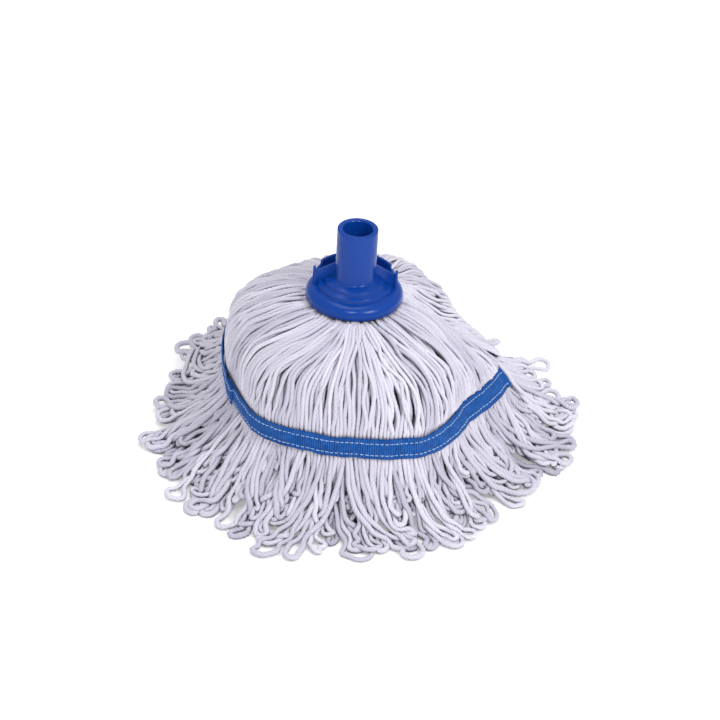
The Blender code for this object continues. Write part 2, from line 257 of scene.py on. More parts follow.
def low_noise(rng, count):
    """A smooth random function of azimuth, between about -1 and 1."""
    waves = [
        (k, rng.normal() / math.sqrt(k), rng.uniform(0, 2 * np.pi)) for k in range(2, 2 + count)
    ]
    scale = 1.0 / math.sqrt(sum(w[1] ** 2 for w in waves) / 2 + 1e-9) / 2
    return lambda a: scale * sum(w[1] * np.cos(w[0] * a + w[2]) for w in waves)


SKIRT_LUMPS = low_noise(np.random.default_rng(SEED + 7), 18)


def lumps(azimuth):
    """Broad swellings of the skirt where hanks of strands lie over one another."""
    return 0.0014 * SKIRT_LUMPS(azimuth)


def loop_pairs(legs, rng):
    """Which legs of a layer are two ends of one loop: neighbours, or legs one or two apart."""
    pairs = []
    for first in range(0, legs, 4):
        quad = list(range(first, min(first + 4, legs)))
        pick = rng.integers(0, 3)
        choice = (((0, 1), (2, 3)), ((0, 2), (1, 3)), ((0, 3), (1, 2)))[pick]
        pairs += [(quad[a], quad[b]) for a, b in choice if b < len(quad)]
    return pairs


def make_loops():
    """Every yarn loop before it settles."""
    rng = np.random.default_rng(SEED)
    strands = []
    sweep = low_noise(rng, 9)
    # azimuth, turn, share of the reach, and the waves' size, number and phase
    hanks = np.stack([
        (np.arange(HANKS) + rng.uniform(-0.3, 0.3, HANKS)) * 2 * np.pi / HANKS,
        rng.normal(0, HANK_SPREAD, HANKS),
        rng.beta(2.6, 1.2, HANKS),
        rng.uniform(0.0015, 0.0060, HANKS),
        rng.uniform(0.35, 0.95, HANKS),
        rng.random(HANKS),
    ], 1)
    for layer, legs in enumerate(LAYER_LEGS):
        azimuths = leg_layout(layer, rng)
        for one, two in loop_pairs(legs, rng):
            middle = 0.5 * (azimuths[one] + azimuths[two])
            gap = np.abs((hanks[:, 0] - middle + np.pi) % (2 * np.pi) - np.pi)
            beside = rng.integers(-1, 2) if rng.random() < 0.2 else 0
            hank = hanks[(int(np.argmin(gap)) + beside) % HANKS]
            ends = azimuths[one], azimuths[two]
            strands.append(make_loop(rng, layer, ends, middle, hank, sweep))
    return strands


def make_loop(rng, layer, ends, middle, hank, sweep):
    """One loop, from the azimuths at which its two legs pass the tape to its tip in its hank."""
    hank_azimuth, hank_turn, hank_share, wave, cycles, phase = hank
    turned = math.radians(float(tip_sweep(middle))) * TIP_SWEPT[layer]
    to_hank = (hank_azimuth - middle + np.pi) % (2 * np.pi) - np.pi
    tip_azimuth = middle + TO_HANK[layer] * to_hank + turned + hank_turn * HANK_TURN[layer]
    tip_azimuth = tip_azimuth + rng.normal(0, TIP_JITTER)
    if rng.random() < STRAY_SHARE:
        tip_azimuth += rng.choice((-1, 1)) * rng.uniform(*STRAY_TURN)
    share = np.clip(hank_share + rng.normal(-0.06, 0.13) - 0.06 * layer, 0.15, 1.0)
    shape = {
        "wave": wave * rng.uniform(0.5, 1.3),
        "cycles": cycles + rng.normal(0, 0.10),
        "phase": phase + rng.normal(0, 0.06),
        "arch": rng.uniform(0.0, 0.008),
        "swell": rng.uniform(0.0005, 0.0030),
        "swell_cycles": rng.uniform(0.5, 1.3),
        "swell_phase": rng.random(),
        "wind_cycles": rng.uniform(0.3, 1.1) * rng.choice((-1, 1)),
        "wound": rng.random() < 0.5,
        "wind_phase": rng.random(),
    }
    far = reach(tip_azimuth)
    near = band_radius(tip_azimuth)
    tip_r = near + (SHORTEST + LONGER * share) * (far - near) - TURN_DEPTH
    over = TIP_LAYER_RISE * (2 - layer) * rng.uniform(0.1, 1.4)
    tip_z = LOOSE_RADIUS + float(lift(tip_azimuth)) + over
    turn = rng.uniform(0.0032, 0.0085)
    crossed = 1 if rng.random() < CROSSED_SHARE else -1
    last_escaped = ESCAPED[1] + hank_share * 2 * ESCAPED_SHIFT - ESCAPED_SHIFT
    (first, first_fixed), (second, second_fixed) = (
        leg_points(rng, a, side, layer, last_escaped, (tip_azimuth, tip_r, tip_z),
                   -crossed * side * turn, shape, sweep)
        for side, a in zip((-1, 1), ends)
    )
    tip = place(tip_r, tip_azimuth, tip_z)
    out = np.array([math.cos(tip_azimuth), math.sin(tip_azimuth), 0.0])
    across = np.array([-out[1], out[0], 0.0])
    bow = np.array([
        tip + out * turn * math.sin(u) + across * crossed * turn * math.cos(u)
        for u in np.linspace(0, np.pi, 7)[1:-1]
    ])
    points = np.concatenate([first, bow, second[::-1]])
    fixed = np.concatenate([first_fixed, np.zeros(len(bow)), second_fixed[::-1]])
    points, fixed = spaced(points, SPACING, fixed)
    sector = int((math.degrees(middle) % 360) // (360 / SECTORS)) % SECTORS
    return Strand(points, fixed > 0.5, layer, sector)


def leg_points(rng, a, side, layer, last_escaped, tip, aside, shape, sweep):
    """One leg from its root to the start of its turn, and which of its points are held."""
    escaped = layer == 0 and ESCAPED[0] < math.degrees(a) % 360 < last_escaped
    band = band_radius(a)
    depth = TAPE_THICKNESS + UNDER_TAPE + YARN_RADIUS + LAYER_STEP * layer
    root, skirt = skirt_points(rng, a, layer, depth, escaped, sweep)
    hold = band - depth if not escaped else band + YARN_RADIUS + 0.0008
    lean = math.radians(float(tilt(a)))
    rise = np.linspace(TAPE_WIDTH / 2, -TAPE_WIDTH / 2 - 0.003, 7)
    tape = place(hold - rise * math.sin(lean), a, TAPE_Z + rise * math.cos(lean))
    start_r = hold - rise[-1] * math.sin(lean) + 0.0006
    start_z = TAPE_Z + rise[-1] * math.cos(lean) - 0.001
    fringe = fringe_points(rng, a, side, layer, start_r, start_z, tip, aside, shape, sweep)
    points = np.concatenate([root, skirt, tape, fringe])
    fixed = np.concatenate([
        np.ones(len(root)), np.zeros(len(skirt)), np.ones(len(tape)), np.zeros(len(fringe))
    ])
    fixed[len(root):len(root) + 3] = 1
    return points, fixed


def skirt_points(rng, a, layer, depth, escaped, sweep):
    """A leg's root under the flange, and its way from there to the tape."""
    stack = rng.uniform(0, 1.5)
    root_a = a + math.radians(float(root_sweep(a))) + 0.05 * sweep(a) + rng.normal(0, 0.014)
    cone = float(slump(a))
    ring_r, ring_z = DOME_R + cone * (CONE_R - DOME_R), DOME_Z + cone * (CONE_Z - DOME_Z)
    t = np.linspace(0, 1, len(ring_r))
    az = root_a + (a - root_a) * smoothstep(t * 1.45)
    bunch = CLUMP * (round(a / CLUMP) + 0.18 * math.sin(7 * a)) - a
    az += (0.020 * sweep(3.1 * a) + 0.22 * bunch) * np.sin(np.pi * t) ** 2 * (layer == 0)
    for waves in WANDERING:
        az += sum(rng.normal(0, spread) * np.sin(halves * np.pi * t) for spread, halves in waves)
    stretch = (band_radius(az) - SKIRT_START_R) / (BAND_MEAN - SKIRT_START_R)
    radius = SKIRT_START_R + (ring_r - SKIRT_START_R) * stretch
    near_tape = smoothstep((t - 0.75) / 0.25)
    stacked = stack_depth(radius, stack, layer) * (1 - near_tape)
    inward = YARN_RADIUS + stacked + (depth - YARN_RADIUS) * near_tape
    slope_r, slope_z = np.gradient(radius), np.gradient(ring_z)
    norm = np.hypot(slope_r, slope_z)
    if escaped:
        out_of_tape = (depth + 0.0024) * smoothstep((t - 0.6) / 0.3)
        inward = np.where(t > 0.6, inward - out_of_tape, inward)
    inward = inward - (puff(az) + lumps(az)) * np.sin(np.pi * t)
    radius = radius + inward * slope_z / norm
    height = ring_z - inward * slope_r / norm
    root = place(np.linspace(ROOT_R, radius[0], 5)[:-1], root_a, np.full(4, height[0]))
    return root, place(radius, az, height)


def fringe_points(rng, a, side, layer, start_r, start_z, tip, aside, shape, sweep):
    """A leg's way from under the tape to the start of its turn at the tip."""
    tip_azimuth, tip_r, tip_z = tip
    u = np.linspace(0, 1, 36)[1:]
    out_share = u**1.30
    down_share = 1 - (1 - u) ** 1.35
    fringe_r = start_r + (tip_r - start_r) * out_share
    fringe_z = start_z + (tip_z - start_z) * down_share
    fringe_a = a + (tip_azimuth - a) * smoothstep(u) ** 1.4
    halfway = 0.6 * a + 0.4 * tip_azimuth
    shifted = halfway + 0.35 * GATHERED * sweep(2.3 * halfway)
    gather = GATHERED * round(shifted / GATHERED) - shifted
    fringe_a = fringe_a + GATHER[layer] * gather * np.sin(np.pi * u**1.1) ** 1.5

    def crimp(size, cycles):
        return rng.uniform(*size) * np.sin(2 * np.pi * (u * rng.uniform(*cycles) + rng.random()))

    own = crimp((0.0005, 0.0026), (0.6, 2.2))
    own = own + crimp((0.0007, 0.0025), (2.5, 5.0))
    wave = shape["wave"] * np.sin(2 * np.pi * (u * shape["cycles"] + shape["phase"])) + own
    swelling = np.sin(2 * np.pi * (u * shape["swell_cycles"] + shape["swell_phase"]))
    swell = shape["arch"] * np.sin(np.pi * u) + shape["swell"] * u * swelling
    aside_line, over_line = aside * u**3, np.zeros(len(u))
    if shape["wound"]:
        # the loop's two legs wind round each other
        angle = 2 * np.pi * (shape["wind_cycles"] * u + shape["wind_phase"])
        angle = angle + (np.pi if side > 0 else 0)
        round_share = smoothstep(u / 0.25) * (1 - smoothstep((u - 0.80) / 0.20))
        aside_line = aside_line * smoothstep((u - 0.7) / 0.3)
        aside_line = aside_line + WIND_RADIUS * np.cos(angle) * round_share
        over_line = WIND_RADIUS * np.sin(angle) * round_share
    sideways = wave * np.sqrt(u) * (1 - 0.45 * u) * 1.1 + aside_line
    fringe_a = fringe_a + sideways / np.maximum(fringe_r, 0.05)
    return place(
        fringe_r + 0.5 * swell + 0.6 * over_line,
        fringe_a,
        fringe_z + 0.8 * np.abs(swell) + 0.8 * over_line,
    )


def crowding(radius):
    """How many strands of the outer layer share the width of one at a distance from the axis."""
    return LAYER_LEGS[0] * 2 * YARN_RADIUS / (2 * np.pi * radius)


def stack_depth(radius, stack, layer):
    """How deep under the skirt's outer face a leg lies, which grows toward the crowded root."""
    crowd = crowding(radius)
    return PACKED * (stack * np.clip(crowd - 1, 0, 2) / 2 + layer * crowd)


def looseness(height):
    """How far the yarn has opened, from 0 in the tape to 1 in the fringe."""
    return smoothstep((TAPE_FOOT - height) / LOOSENS_OVER)


def opened_radius(loose):
    return YARN_RADIUS + (LOOSE_RADIUS - YARN_RADIUS) * loose


def neighbour_pairs(x, reach_out, chain, index):
    """Every pair of points nearer than reach_out that aren't neighbours on one strand."""
    cell = np.floor(x / reach_out).astype(np.int64)
    cell -= cell.min(0) - 1
    dims = cell.max(0) + 2
    key = (cell[:, 0] * dims[1] + cell[:, 1]) * dims[2] + cell[:, 2]
    order = np.argsort(key, kind="stable")
    ranked = key[order]
    found = []
    for dx, dy, dz in itertools.product((-1, 0, 1), repeat=3):
        step = (dx * dims[1] + dy) * dims[2] + dz
        if step < 0:
            continue
        low = np.searchsorted(ranked, key + step, "left")
        count = np.searchsorted(ranked, key + step, "right") - low
        i = np.repeat(np.arange(len(x)), count)
        within = np.arange(len(i)) - np.repeat(np.cumsum(count) - count, count)
        j = order[np.repeat(low, count) + within]
        if step == 0:
            i, j = i[i < j], j[i < j]
        near = ((x[i] - x[j]) ** 2).sum(1) < reach_out**2
        near &= (chain[i] != chain[j]) | (np.abs(index[i] - index[j]) > 3)
        found.append((i[near], j[near]))
    return np.concatenate([f[0] for f in found]), np.concatenate([f[1] for f in found])


# the relaxation of the strands
FALL = 0.00016  # of the free fringe in each step
CONTACT_EVERY = 5  # steps between searches for touching points
CONTACT_MARGIN = 1.25
PUSH = 0.42
STIFFNESS = 0.30
DAMPING = 0.55
FASTEST = 0.0006
SKIRT_SLACK = 0.0012


def settle(strands):
    """Relaxes the strands: they keep their length and lie on each other and on the floor."""
    x = np.concatenate([s.points for s in strands])
    free = 1.0 - np.concatenate([s.fixed for s in strands])
    lengths = [len(s.points) for s in strands]
    chain = np.repeat(np.arange(len(lengths)), lengths)
    index = np.concatenate([np.arange(n) for n in lengths])
    layer = np.repeat([s.layer for s in strands], lengths)
    outer_free = (free > 0) & (np.repeat([s.sector for s in strands], lengths) != NO_SECTOR)
    same = chain[:-1] == chain[1:]
    links = np.nonzero(same)[0]
    edges = links[index[links] % 2 == 0], links[index[links] % 2 == 1]
    rest = np.linalg.norm(x[1:] - x[:-1], axis=1)
    middle = np.nonzero(same[1:] & same[:-1])[0] + 1
    bend = x[middle] - 0.5 * (x[middle - 1] + x[middle + 1])
    girth = CONTACT_SHARE * opened_radius(looseness(x[:, 2]))
    skirt = np.nonzero((x[:, 2] > TAPE_Z + TAPE_WIDTH / 2 - 0.003) & outer_free)[0]
    fringe = np.nonzero((x[:, 2] < TAPE_FOOT) & outer_free)[0]
    hills = low_noise(np.random.default_rng(SEED + 1), 22)
    velocity = np.zeros_like(x)
    for step in range(STEPS):
        if step % CONTACT_EVERY == 0:
            near = 2 * CONTACT_SHARE * LOOSE_RADIUS * CONTACT_MARGIN
            i, j = neighbour_pairs(x, near, chain, index)
            touch = girth[i] + girth[j]
        before = x.copy()
        x += velocity * free[:, None]
        x[fringe, 2] -= FALL
        push_apart(x, free, i, j, touch)
        # each strand keeps its own waves
        target = 0.5 * (x[middle - 1] + x[middle + 1]) + bend
        x[middle] += (target - x[middle]) * STIFFNESS * free[middle][:, None]
        keep_lengths(x, free, edges, rest)
        keep_in_skirt(x, skirt, layer)
        keep_off_ground(x, free, fringe, layer, hills)
        velocity = (x - before) * DAMPING
        speed = np.sqrt((velocity**2).sum(1)) + 1e-12
        velocity *= np.minimum(1.0, FASTEST / speed)[:, None]
    return np.split(x, np.cumsum(lengths)[:-1])


def push_apart(x, free, i, j, touch):
    """Points i and j that are nearer than touch move away from each other."""
    for _ in range(2):
        d = x[i] - x[j]
        dist = np.sqrt((d * d).sum(1)) + 1e-9
        push = np.clip(touch - dist, 0, None) * PUSH / dist
        move = d * push[:, None]
        share_i = free[i] / np.maximum(free[i] + free[j], 1)
        share_j = free[j] / np.maximum(free[i] + free[j], 1)
        for k in range(3):
            x[:, k] += np.bincount(i, move[:, k] * share_i, len(x))
            x[:, k] -= np.bincount(j, move[:, k] * share_j, len(x))


def keep_lengths(x, free, edges, rest):
    """The steps between a strand's points go back to their resting lengths."""
    for _ in range(2):
        for edge in edges:
            d = x[edge + 1] - x[edge]
            dist = np.sqrt((d * d).sum(1)) + 1e-9
            w = free[edge] + free[edge + 1]
            pull = (dist - rest[edge]) / dist / np.maximum(w, 1)
            pull = np.where(w > 0, pull, 0)
            x[edge] += d * (pull * free[edge])[:, None]
            x[edge + 1] -= d * (pull * free[edge + 1])[:, None]


def from_centre(outs, heights):
    """(angles, distances) of an outline seen from the skirt's middle, in rising order of angle."""
    rise = heights - DOME_CENTRE_Z
    return np.arctan2(rise, outs)[::-1], np.hypot(outs, rise)[::-1]


def keep_in_skirt(x, s, layer):
    """The skirt's points s stay between the faces of their layer."""
    dome, cone = from_centre(DOME_R, DOME_Z), from_centre(CONE_R, CONE_Z)
    azimuth = np.arctan2(x[s, 1], x[s, 0])
    radius = np.hypot(x[s, 0], x[s, 1])
    scale = (band_radius(azimuth) - SKIRT_START_R) / (BAND_MEAN - SKIRT_START_R)
    scaled = SKIRT_START_R + (radius - SKIRT_START_R) / scale
    flat = np.where(radius > SKIRT_START_R, scaled, radius)
    rise = x[s, 2] - DOME_CENTRE_Z
    angle, length = np.arctan2(rise, flat), np.hypot(flat, rise)
    loose = slump(azimuth)
    surface = (1 - loose) * np.interp(angle, *dome) + loose * np.interp(angle, *cone)
    across = np.clip((angle - dome[0][0]) / (dome[0][-1] - dome[0][0]), 0, 1)
    surface += (puff(azimuth) + lumps(azimuth)) * np.sin(np.pi * across)
    crowd = crowding(radius)
    top = YARN_RADIUS + PACKED * crowd * layer[s] - SKIRT_SLACK
    low = YARN_RADIUS + PACKED * (crowd * (layer[s] + 1) - 1) + SKIRT_SLACK
    blend = smoothstep((radius / band_radius(azimuth) - 0.88) / 0.1)
    top, low = top * (1 - blend) - 0.010 * blend, low * (1 - blend) + 0.014 * blend
    depth = surface - length
    new_length = length + (np.clip(depth - top, None, 0) + np.clip(depth - low, 0, None))
    new_flat, new_rise = new_length * np.cos(angle), new_length * np.sin(angle)
    grow = np.where(flat > 1e-6, new_flat / np.maximum(flat, 1e-6), 1.0)
    x[s, 0] *= grow
    x[s, 1] *= grow
    x[s, 2] = DOME_CENTRE_Z + new_rise


def keep_off_ground(x, free, g, layer, hills):
    """The fringe's points g lie on the yarn inside the fringe, and all points on the floor."""
    azimuth = np.arctan2(x[g, 1], x[g, 0])
    radius = np.hypot(x[g, 0], x[g, 1])
    inside = band_radius(azimuth) - 0.012
    outside = inside + (0.80 + 0.07 * hills(azimuth)) * (reach(azimuth) - inside)
    down = np.clip(1 - (radius - inside) / (outside - inside), 0, 1) ** 1.35
    hill = (TAPE_FOOT - 0.004) * down + lift(azimuth) * (1 - down)
    over = 0.0031 * (2 - layer[g]) * np.minimum(1, 4 * (1 - down))
    x[g, 2] = np.maximum(x[g, 2], np.maximum(hill - 0.003 + over, YARN_RADIUS))
    x[:, 2] = np.where(free > 0, np.maximum(x[:, 2], LOOSE_RADIUS), x[:, 2])


# (number of loops, radius at the root, halfway and at the tip) of each ring of inner loops
INNER_RINGS = (
    (10, 0.012, 0.018, 0.020), (20, 0.020, 0.036, 0.042), (30, 0.026, 0.055, 0.068),
    (40, 0.030, 0.074, 0.105),
)
INNER_ROOT_Z = 0.112
INNER_TIP_Z = 0.004
INNER_LAYER = 2


def make_inner():
    """Short loops that hang inside the ring, down to the floor."""
    rng = np.random.default_rng(SEED + 2)
    strands = []
    for ring, (count, root_r, mid_r, tip_r) in enumerate(INNER_RINGS):
        for k in range(count):
            a = 2 * np.pi * (k + 0.5 * (ring % 2)) / count + rng.normal(0, 0.02)
            tip_a = a + rng.normal(0, 0.10)
            halves = []
            for side in (-1, 1):
                t = np.linspace(0, 1, 24)
                spread = side * 0.0045 * (0.3 + t)
                r = root_r + (mid_r - root_r) * smoothstep(t * 2) + (tip_r - mid_r) * t
                root_z = INNER_ROOT_Z - 0.004 * ring
                z = root_z + (INNER_TIP_Z - INNER_ROOT_Z + 0.004 * ring) * t**0.9
                wave = 0.002 * np.sin(2 * np.pi * (t * rng.uniform(1, 3) + rng.random()))
                az = a + (tip_a - a) * t + (spread + wave) / np.maximum(r, 0.01)
                halves.append(place(r, az, z))
            one, two = halves
            bow_r, bow_a = np.array([0.004, 0.006, 0.004]), np.array([-0.02, 0, 0.02])
            bow = place(tip_r + bow_r, tip_a + bow_a, 0.002)
            points = spaced(np.concatenate([one, bow, two[::-1]]), SPACING * 1.3)
            fixed = np.zeros(len(points), bool)
            fixed[:3] = fixed[-3:] = True
            strands.append(Strand(points, fixed, INNER_LAYER, NO_SECTOR))
    return strands


def smooth_line(points, spacing):
    """A Catmull-Rom curve through the points, at equal steps."""
    p = np.concatenate([[2 * points[0] - points[1]], points, [2 * points[-1] - points[-2]]])
    u = np.linspace(0, 1, 5)[:-1][:, None]
    a, b, c, d = p[:-3, None], p[1:-2, None], p[2:-1, None], p[3:, None]
    square, cube = (2 * a - 5 * b + 4 * c - d) * u**2, (3 * b - a - 3 * c + d) * u**3
    dense = 0.5 * (2 * b + (c - a) * u + square + cube)
    dense = np.concatenate([dense.reshape(-1, 3), points[-1:]])
    return spaced(dense, spacing)


def frames(lines):
    """Two unit vectors across each line at each point, turned as little as possible along it."""
    tangent = np.gradient(lines, axis=0)
    tangent /= np.linalg.norm(tangent, axis=1, keepdims=True) + 1e-12
    first = np.cross(tangent[0], [0.31, 0.17, 0.93])
    first /= np.linalg.norm(first)
    side = np.empty_like(lines)
    side[0] = first
    for k in range(1, len(lines)):
        v = side[k - 1] - tangent[k] * (side[k - 1] @ tangent[k])
        side[k] = v / (np.sqrt(v @ v) + 1e-12)
    return side, np.cross(tangent, side)


def tube_points(line, side, up, r, angle):
    """The rings of points of a tube round the line, one after the other."""
    across = side[:, None] * (r * np.cos(angle))[..., None]
    along_up = up[:, None] * (r * np.sin(angle))[..., None]
    return (line[:, None] + across + along_up).reshape(-1, 3)


def tube_quads(rings, sides):
    corner = np.arange(sides)
    after = (corner + 1) % sides
    base = (np.arange(rings - 1) * sides)[:, None]
    faces = [base + corner, base + after, base + sides + after, base + sides + corner]
    return np.stack(faces, -1).reshape(-1, 4)


def tube_caps(first, rings, sides):
    corner = np.arange(sides)
    return [list(first + corner[::-1]), list(first + (rings - 1) * sides + corner)]


PLY_PITCH = 0.0150
PLY_DEPTH = 0.09
SLUB_SIZE = 0.08  # of the yarn's thicker and thinner places
SLUB_LENGTH = 0.011


def yarn_tube(points, layer, rng):
    """Vertices, number of rings and per-vertex marks of one plied strand."""
    sides, spacing = LAYER_SIDES[layer], LAYER_RING[layer]
    line = smooth_line(points, spacing)
    side, up = frames(line)
    rings = len(line)
    run = np.arange(rings) * spacing
    slub = np.sin(run / SLUB_LENGTH + rng.uniform(0, 6.3))
    slub = 1 + SLUB_SIZE * slub * rng.uniform(0.3, 1.0)
    loose = looseness(line[:, 2])
    radius = opened_radius(loose) * rng.uniform(0.90, 1.10) * slub
    turn = 2 * np.pi * run / PLY_PITCH + rng.uniform(0, 6.3)
    corner = np.arange(sides)
    angle = 2 * np.pi * corner[None] / sides + turn[:, None]
    # the outer layer's plies show as four ridges, and the deeper ones are round
    ridge = (corner % 3 == 0).astype(float) if layer == 0 else np.ones(sides)
    r = radius[:, None] * (1 - PLY_DEPTH * (1 - ridge[None]))
    marks = {
        "along": np.repeat(run, sides),
        "around": np.tile(corner / sides, rings),
        "tone_and_depth_shade": np.full(rings * sides, rng.uniform(*LAYER_TONES_AND_DEPTH_SHADE[layer])),
        "ridge": np.tile(ridge, rings),
        "loose": np.repeat(loose, sides),
    }
    return tube_points(line, side, up, r, angle), rings, marks


def mesh_object(name, verts, quads, caps, attributes, material):
    """A smooth mesh from quads and end caps, with one number a vertex for each attribute."""
    mesh = bpy.data.meshes.new(name)
    loops = np.concatenate([quads.ravel()] + [np.asarray(c) for c in caps]).astype(np.int32)
    totals = np.concatenate([np.full(len(quads), 4), [len(c) for c in caps]]).astype(np.int32)
    starts = np.concatenate([[0], np.cumsum(totals)[:-1]]).astype(np.int32)
    mesh.vertices.add(len(verts))
    mesh.vertices.foreach_set("co", verts.astype(np.float32).ravel())
    mesh.loops.add(len(loops))
    mesh.loops.foreach_set("vertex_index", loops)
    mesh.polygons.add(len(totals))
    mesh.polygons.foreach_set("loop_start", starts)
    mesh.polygons.foreach_set("loop_total", totals)
    mesh.polygons.foreach_set("use_smooth", np.ones(len(totals), bool))
    mesh.update(calc_edges=True)
    for key, values in attributes.items():
        stored = mesh.attributes.new(key, "FLOAT", "POINT")
        stored.data.foreach_set("value", values.astype(np.float32))
    mesh.validate()
    mesh.materials.append(material)
    return new_object(name, mesh)


def yarn_object(name, lines, layers, material, rng):
    """One piece made of the plied strands along the lines."""
    parts, quads, caps, marks, total = [], [], [], [], 0
    for points, layer in zip(lines, layers):
        verts, rings, mark = yarn_tube(points, layer, rng)
        parts.append(verts)
        quads.append(tube_quads(rings, LAYER_SIDES[layer]) + total)
        caps += tube_caps(total, rings, LAYER_SIDES[layer])
        marks.append(mark)
        total += len(verts)
    attributes = {key: np.concatenate([mark[key] for mark in marks]) for key in marks[0]}
    return mesh_object(
        name, np.concatenate(parts), np.concatenate(quads), caps, attributes, material
    )


# ---------------- materials
class Look:
    """A Principled material, with short ways to add the nodes that these looks share."""

    def __init__(self, name, **inputs):
        self.material = bpy.data.materials.new(name)
        self.material.use_nodes = True
        self.nodes = self.material.node_tree.nodes
        self.links = self.material.node_tree.links
        self.shader = self.nodes["Principled BSDF"]
        for key, value in inputs.items():
            self.shader.inputs[key.replace("_", " ")].default_value = value
        self.object_point = self.nodes.new("ShaderNodeTexCoord").outputs["Object"]

    def attribute(self, key):
        node = self.nodes.new("ShaderNodeAttribute")
        node.attribute_name = key
        return node.outputs["Fac"]

    def math(self, operation, a, b):
        node = self.nodes.new("ShaderNodeMath")
        node.operation = operation
        for socket, value in zip(node.inputs, (a, b)):
            if isinstance(value, (int, float)):
                socket.default_value = value
            else:
                self.links.new(value, socket)
        return node.outputs[0]

    def noise(self, point, scale, detail=2.0):
        node = self.nodes.new("ShaderNodeTexNoise")
        node.inputs["Scale"].default_value = scale
        node.inputs["Detail"].default_value = detail
        self.links.new(point, node.inputs["Vector"])
        return node.outputs[0]

    def ramp(self, value, low, high, start=0.0, end=1.0):
        node = self.nodes.new("ShaderNodeValToRGB")
        first, last = node.color_ramp.elements
        first.position, last.position = start, end
        first.color, last.color = tuple(low) + (1,), tuple(high) + (1,)
        self.links.new(value, node.inputs[0])
        return node.outputs[0]

    def multiply(self, one, two):
        node = self.nodes.new("ShaderNodeMixRGB")
        node.blend_type = "MULTIPLY"
        node.inputs[0].default_value = 1.0
        self.links.new(one, node.inputs[1])
        self.links.new(two, node.inputs[2])
        return node.outputs[0]

    def feed(self, key, value):
        self.links.new(value, self.shader.inputs[key])

    def bump(self, height, strength, distance):
        node = self.nodes.new("ShaderNodeBump")
        node.inputs["Strength"].default_value = strength
        node.inputs["Distance"].default_value = distance
        self.links.new(height, node.inputs["Height"])
        self.feed("Normal", node.outputs[0])


WHITE = (1, 1, 1)


def yarn_material(name, shade):
    """Cotton with fibres along the strands, with painted shade: darker where other strands hide it
    from the light, and darker all over when shade is below 1.
    """
    look = Look(name, Roughness=0.92, Specular_IOR_Level=0.25, Sheen_Weight=0.35,
                Sheen_Roughness=0.5)
    # painted shade: the low end of this ramp, which the deeper layers and the inner yarn get,
    # paints the strand darker
    tint = look.ramp(
        look.attribute("tone_and_depth_shade"),
        [shade * c for c in (0.505, 0.49, 0.605)], [shade * c for c in (0.89, 0.87, 0.965)],
    )
    # painted shade: the grooves between the plies are painted darker
    tint = look.multiply(tint, look.ramp(look.attribute("ridge"), (0.86, 0.85, 0.88), WHITE))
    fibre = look.nodes.new("ShaderNodeCombineXYZ")
    for axis, (key, scale) in enumerate((("along", 260.0), ("around", 9.0), ("tone_and_depth_shade", 90.0))):
        look.links.new(look.math("MULTIPLY", look.attribute(key), scale), fibre.inputs[axis])
    hair = look.noise(fibre.outputs[0], 1.6, 3.0)
    tint = look.multiply(tint, look.ramp(hair, (0.88, 0.87, 0.90), WHITE, 0.30, 0.62))
    # painted shade: ambient occlusion darkens the base colour where other strands are near
    hidden = look.nodes.new("ShaderNodeAmbientOcclusion")
    hidden.samples = 6
    hidden.inputs["Distance"].default_value = 0.016
    # painted shade: loose strands leave hollows between them, so these are painted darker still
    opened = look.math("MULTIPLY", look.attribute("loose"), 0.15)
    shown = look.math("SUBTRACT", hidden.outputs["AO"], opened)
    tint = look.multiply(tint, look.ramp(shown, (0.12, 0.115, 0.155), WHITE, 0.03, 0.29))
    look.feed("Base Color", tint)
    fuzz = look.noise(look.object_point, 2200.0)
    height = look.math("ADD", look.math("MULTIPLY", hair, 0.6), look.math("MULTIPLY", fuzz, 0.4))
    look.bump(height, 0.55, 0.0004)
    return look.material


def plastic_material(name, colour, roughness):
    look = Look(name, Specular_IOR_Level=0.24)
    mottle = look.noise(look.object_point, 60.0, 3.0)
    low, high = [0.88 * c for c in colour], [min(1, 1.10 * c) for c in colour]
    look.feed("Base Color", look.ramp(mottle, low, high))
    rough = look.nodes.new("ShaderNodeMapRange")
    rough.inputs["To Min"].default_value = roughness - 0.07
    rough.inputs["To Max"].default_value = roughness + 0.08
    look.links.new(mottle, rough.inputs["Value"])
    look.feed("Roughness", rough.outputs[0])
    look.bump(look.noise(look.object_point, 1400.0), 0.10, 0.0002)
    return look.material


def tape_material():
    """Woven tape with painted shade: the ribs' hollows are painted darker."""
    look = Look("tape_fabric_look", Roughness=0.78, Specular_IOR_Level=0.12, Sheen_Weight=0.05)
    mottle = look.noise(look.object_point, 260.0, 4.0)
    tint = look.ramp(mottle, (0.008, 0.085, 0.33), (0.030, 0.165, 0.56), 0.25, 0.75)
    # painted shade: the hollows between the ribs are darkened
    ribs = look.ramp(look.attribute("rib"), (0.25, 0.32, 0.42), WHITE)
    look.feed("Base Color", look.multiply(tint, ribs))
    look.bump(look.noise(look.object_point, 2600.0), 0.5, 0.0002)
    return look.material


def thread_material():
    look = Look("stitch_thread_look", Roughness=0.6)
    mottle = look.noise(look.object_point, 900.0)
    look.feed("Base Color", look.ramp(mottle, (0.34, 0.52, 0.80), (0.72, 0.84, 0.98)))
    look.bump(mottle, 0.4, 0.0001)
    return look.material


# ---------------- tape
RIB_PITCH = 0.0017
RIB_DEPTH = 0.00014
OVERLAP_DEG = 16.0  # the loose end lies on the first turn
END_LIFT = 0.0030
PLEAT_FRONT = -154.0
PLEAT_BACK = -158.0
PLEAT_PLY = 0.0011
INNER_INSET = 0.0130
CROWN = 0.00055  # of the tape between its edges
SELVAGE = 0.00025
SEAM_DEPTH = 0.00022
BULGE = 0.00030
ACROSS = 15  # points over the width


